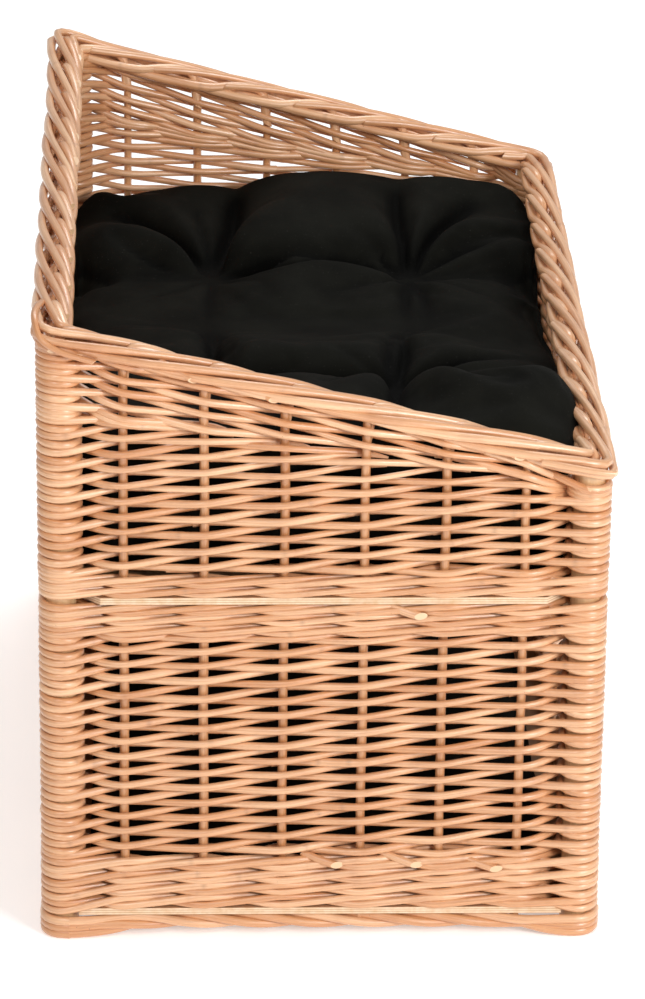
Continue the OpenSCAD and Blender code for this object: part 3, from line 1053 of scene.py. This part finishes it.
def tufted(verts, lo, hi, rest):
    """The same points with a valley along each row of tufts, and folds that run down into each tuft."""
    x, y, z = verts.T
    top = np.clip((z - lo[2]) / (hi[2] - lo[2]) * 2 - 0.8, 0, 1)
    share = (hi[2] - rest) / 46.0
    wave = 5 * np.sin(x / 47.0) + 3 * np.sin(x / 19.0)
    total = (54 * np.exp(-np.abs(np.abs(y) - TUFT_Y - wave) / 24)) ** 3
    for (tx, ty), folds in FOLDS.items():
        for direction, length, depth, bend in folds:
            total += fold(x - tx, y - ty, direction, length, depth, bend) ** 3
        total += (56 * np.exp(-np.hypot(x - tx, y - ty) / 15)) ** 3
    room = np.maximum(5, hi[2] - bed_of(y, rest) + crown(x, y) * share)
    depth = room * np.tanh(share * total ** (1 / 3) / room)
    return np.column_stack([x, y, z + (crown(x, y) * share - depth) * top])


def inflate(obj, pins, frames, pressure, growth):
    """Cloth under pressure, held at its pins: it puffs up and wrinkles round them."""
    group = obj.vertex_groups.new(name="pins")
    for vertex, weight in pins:
        group.add([vertex], weight, "REPLACE")
    cloth = obj.modifiers.new("cloth", "CLOTH")
    settings = cloth.settings
    settings.quality = 6
    settings.mass = 0.3
    settings.tension_stiffness = settings.compression_stiffness = 20
    settings.shear_stiffness = 8
    settings.bending_stiffness = 0.6
    settings.tension_damping = settings.compression_damping = 10
    settings.air_damping = 4
    settings.shrink_min = -growth
    settings.use_pressure = True
    settings.uniform_pressure_force = pressure
    settings.vertex_group_mass = "pins"
    settings.effector_weights.gravity = 0
    cloth.collision_settings.use_collision = False
    cloth.collision_settings.use_self_collision = False
    cloth.point_cache.frame_start = 1
    cloth.point_cache.frame_end = frames
    for number in range(1, frames + 1):
        scene.frame_set(number)
    done = obj.evaluated_get(bpy.context.evaluated_depsgraph_get())
    shape = np.empty(len(done.data.vertices) * 3)
    done.data.vertices.foreach_get("co", shape)
    obj.modifiers.remove(cloth)
    obj.vertex_groups.remove(group)
    scene.frame_set(1)
    return shape.reshape(-1, 3)


def make_cushion(name, body, start_lo, start_hi, radius, cell, rest, frames):
    """A tufted cushion that lies flat on its board, inflated over some frames of cloth simulation."""
    blown = frames > 0
    verts, faces = soft_box(start_lo, start_hi, radius, cell)
    verts = tufted(verts, start_lo, start_hi, rest)
    middle = (start_lo[2] + start_hi[2]) / 2
    mesh = bpy.data.meshes.new(name)
    mesh.from_pydata((verts * MM).tolist(), [], faces)
    obj = bpy.data.objects.new(name, mesh)
    scene.collection.objects.link(obj)
    pins = []
    for tx, ty in FOLDS:
        reach = np.hypot(verts[:, 0] - tx, verts[:, 1] - ty)
        pins += [(int(k), 1.0) for k in np.flatnonzero((reach < 7) & (verts[:, 2] > middle))]
    pins += [(int(k), 1.0) for k in np.flatnonzero(verts[:, 2] < start_lo[2] + 2)]
    if blown:
        mesh.vertices.foreach_set("co", inflate(obj, pins, frames, 1.8, 0.05).ravel())
        mesh.update()
    finer = obj.modifiers.new("finer", "SUBSURF")
    finer.levels = finer.render_levels = 1
    fine = bpy.data.meshes.new_from_object(obj.evaluated_get(bpy.context.evaluated_depsgraph_get()))
    obj.modifiers.remove(finer)
    obj.data = fine
    bpy.data.meshes.remove(mesh)
    fine.name = name
    verts = np.empty(len(fine.vertices) * 3)
    fine.vertices.foreach_get("co", verts)
    verts = verts.reshape(-1, 3) / MM
    creased = np.zeros(len(verts))
    if blown:
        creased = wrinkles(verts) * np.clip((verts[:, 2] - middle) / 20, 0, 1)
        verts[:, 2] -= creased
        verts[:, 2] += held_up(verts, start_lo, start_hi, rest)
    room = np.array([WALL_X - WOVEN - ROD_R - 2, WALL_Y - WOVEN - ROD_R - 2])
    verts[:, :2] = np.clip(verts[:, :2], -room, room)
    fine.vertices.foreach_set("co", (verts * MM).ravel())
    fine.polygons.foreach_set("use_smooth", np.ones(len(fine.polygons), bool))
    # strength of the painted shade in the cover's colour: deep folds, plus spots lying below what is round
    # them
    painted_crease_shade = np.clip(creased / 16, 0, 0.6) + painted_hollow_shade(verts, middle) if blown else creased
    fine.attributes.new("painted_crease_shade", "FLOAT", "POINT").data.foreach_set("value", painted_crease_shade)
    fine.update()
    fine.materials.append(COTTON)
    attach(obj, body)
    return obj


def held_up(verts, lo, hi, rest):
    """How far the inner part of a cushion's top rises, so that no fold goes below the tufts."""
    inside = [np.clip((hi[axis] - 20 - np.abs(verts[:, axis])) / 14, 0, 1) for axis in (0, 1)]
    above = verts[:, 2] - bed_of(verts[:, 1], rest)
    return inside[0] * inside[1] * (verts[:, 2] > lo[2] + 30) * (np.sqrt(above**2 + 20) - above) / 2


def painted_hollow_shade(verts, middle):
    """How deep each point of a cushion's top lies below the average of what is round it, from 0 to 1: how
    strongly shade is painted there.
    """
    cell, width = 6.0, 7
    spot = np.rint((verts[:, :2] - verts[:, :2].min(axis=0)) / cell).astype(int)
    heights = np.zeros((2, *(spot.max(axis=0) + 1)))
    top = verts[:, 2] > middle
    np.add.at(heights[0], tuple(spot[top].T), verts[top, 2])
    np.add.at(heights[1], tuple(spot[top].T), 1.0)
    kernel = bump(np.arange(-width, width + 1), 0, width / 2)
    for axis in (1, 2):
        heights = np.apply_along_axis(np.convolve, axis, heights, kernel, "same")
    around = (heights[0] / np.maximum(heights[1], 1e-6))[tuple(spot.T)]
    return np.where(top, np.clip((around - verts[:, 2]) / 7, 0, 1), 0.0)


def wrinkles(verts):
    """Depth of the crisp folds that radiate from the tufts, on the inflated cushion."""
    x, y = verts[:, 0], verts[:, 1]
    total = np.zeros(len(verts))
    for (tx, ty), folds in FOLDS.items():
        r = np.hypot(x - tx, y - ty)
        turn = np.arctan2(y - ty, x - tx)
        lines = []
        for way, length, depth, bend in folds:
            lines.append((math.radians(way), length * 0.9, depth * 0.62, math.radians(bend)))
        for _ in range(9):
            way, length = dice.uniform(0, TAU), dice.uniform(60, 150)
            lines.append((way, length, dice.uniform(3, 9), dice.uniform(-0.5, 0.5)))
        for way, length, depth, bend in lines:
            off = r * np.abs((turn - way - bend * r / length + math.pi) % TAU - math.pi)
            fade = np.clip(r / 14, 0, 1) * np.clip(1 - r / length, 0, 1) ** 0.7
            total += depth * fade * np.exp(-np.hypot(off, 0.8) / (2.8 + 0.042 * r))
    return total


def make_cushions():
    """The bed cushion is blown up by cloth simulation; the flat cave cushion, hardly seen, is not."""
    lo, hi = limits("bed_cushion")
    bed = make_cushion(
        "bed_cushion_cover", "cushion", lo + (1, 4, 1), hi + (-2, -4, 0), 30.0, 6.0, TUFT_REST, 11
    )
    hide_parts("bed_cushion")
    lo, hi = limits("cave_cushion")
    cave = make_cushion(
        "cave_cushion_cover", "basket", lo + (2, 4, 0.5), hi + (-2, -4, 0), 22.0, 9.0, lo[2] + 28, 0
    )
    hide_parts("cave_cushion")


def make_threads():
    """The threads that hold the tufts: two strands twisted together, with a knot on top."""
    bundle = Bundle("tuft_threads")
    for tx, ty in FOLDS:
        top = bed_of(ty, TUFT_REST) - 3
        h = np.arange(tie_lo[2] + 0.5, top, 1.5)
        for half in (0, math.pi):
            a = h * 0.9 + half
            bundle.add(np.column_stack([tx + 0.55 * np.cos(a), ty + 0.55 * np.sin(a), h]), 0.6, 0.5, (), 6)
        a = np.linspace(0, 2.2 * TAU, 30)
        knot = np.column_stack([tx + 1.3 * np.cos(a), ty + 1.3 * np.sin(a), top - 1.2 + 0.09 * a])
        bundle.add(knot, 0.6, 0.5, (), 6)
    bundle.make(THREAD, "cushion", "black_thread", "bed_cushion_ties")


make_weave()
make_wales()
make_stakes()
make_posts()
make_hoop()
make_top_border()
make_foot_border()
make_cushions()
make_threads()

# ---------------------------------------------------------------- boards
for board in ("base_board", "shelf_board"):
    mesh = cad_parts[board].data
    mesh.materials.clear()
    mesh.materials.append(PLYWOOD)

# ---------------------------------------------------------------- floor, light and camera
scene.view_settings.view_transform = "Standard"


def make_floor():
    """A white floor that glows a little, so that it melts into the white behind."""
    mesh = bpy.data.meshes.new("floor")
    far = 6.0
    mesh.from_pydata([(-far, -far, 0), (far, -far, 0), (far, far, 0), (-far, far, 0)], [], [(0, 1, 2, 3)])
    s = Shader("floor_white")
    place = s.node("ShaderNodeTexCoord").outputs["Object"]
    s.set(Base_Color=s.mix(s.noise(place, 3.0), (0.93, 0.93, 0.93, 1), (0.95, 0.95, 0.95, 1)), Roughness=0.9)
    s.set(Emission_Color=(1.0, 1.0, 1.0, 1.0), Emission_Strength=0.35)
    mesh.materials.append(s.material)
    obj = bpy.data.objects.new("floor", mesh)
    scene.collection.objects.link(obj)


def area_light(name, place, target, size, power):
    """A square lamp that points at its target."""
    data = bpy.data.lights.new(name, "AREA")
    data.size, data.energy = size, power
    obj = bpy.data.objects.new(name, data)
    obj.location = place
    direction = Vector(target) - Vector(place)
    obj.rotation_euler = direction.to_track_quat("-Z", "Y").to_euler()
    scene.collection.objects.link(obj)


def make_lights():
    """A white sky, brighter to the camera than to the object, and three large lamps."""
    world = bpy.data.worlds.new("studio")
    world.use_nodes = True
    sky = world.node_tree.nodes["Background"]
    sky.inputs[0].default_value = (1.0, 1.0, 1.0, 1.0)
    path = world.node_tree.nodes.new("ShaderNodeLightPath")
    level = world.node_tree.nodes.new("ShaderNodeMapRange")
    level.inputs[3].default_value, level.inputs[4].default_value = 0.46, 1.0
    world.node_tree.links.new(path.outputs["Is Camera Ray"], level.inputs[0])
    world.node_tree.links.new(level.outputs[0], sky.inputs[1])
    scene.world = world
    middle = (0, 0, 0.25)
    area_light("key", (2.1, -2.7, 1.5), middle, 0.9, 66)
    area_light("fill", (-0.9, -2.7, 3.0), middle, 1.2, 30)
    area_light("back", (0.3, 1.6, 2.9), middle, 1.2, 32)


LENS = 175.784
CAMERA_AT = Vector((-0.129, -3.860, 1.896))
CAMERA_TURN = (2.07, 23.3, 0.72)  # degrees to the right, downward, and tilted about the view


def make_camera():
    """The photograph's view: a long lens, a little to the left of the near wall and above it."""
    data = bpy.data.cameras.new("camera")
    data.sensor_width = 36.0
    data.lens = LENS
    data.clip_end = 50.0
    obj = bpy.data.objects.new("camera", data)
    yaw, pitch, roll = (math.radians(turn) for turn in CAMERA_TURN)
    ahead = Vector((math.sin(yaw) * math.cos(pitch), math.cos(yaw) * math.cos(pitch), -math.sin(pitch)))
    right = Vector((math.cos(yaw), -math.sin(yaw), 0))
    up = right.cross(ahead)
    right, up = right * math.cos(roll) + up * math.sin(roll), up * math.cos(roll) - right * math.sin(roll)
    for column, axis in enumerate((right, up, -ahead, CAMERA_AT)):
        for row in range(3):
            obj.matrix_world[row][column] = axis[row]
    scene.collection.objects.link(obj)
    scene.camera = obj


make_floor()
make_lights()
make_camera()
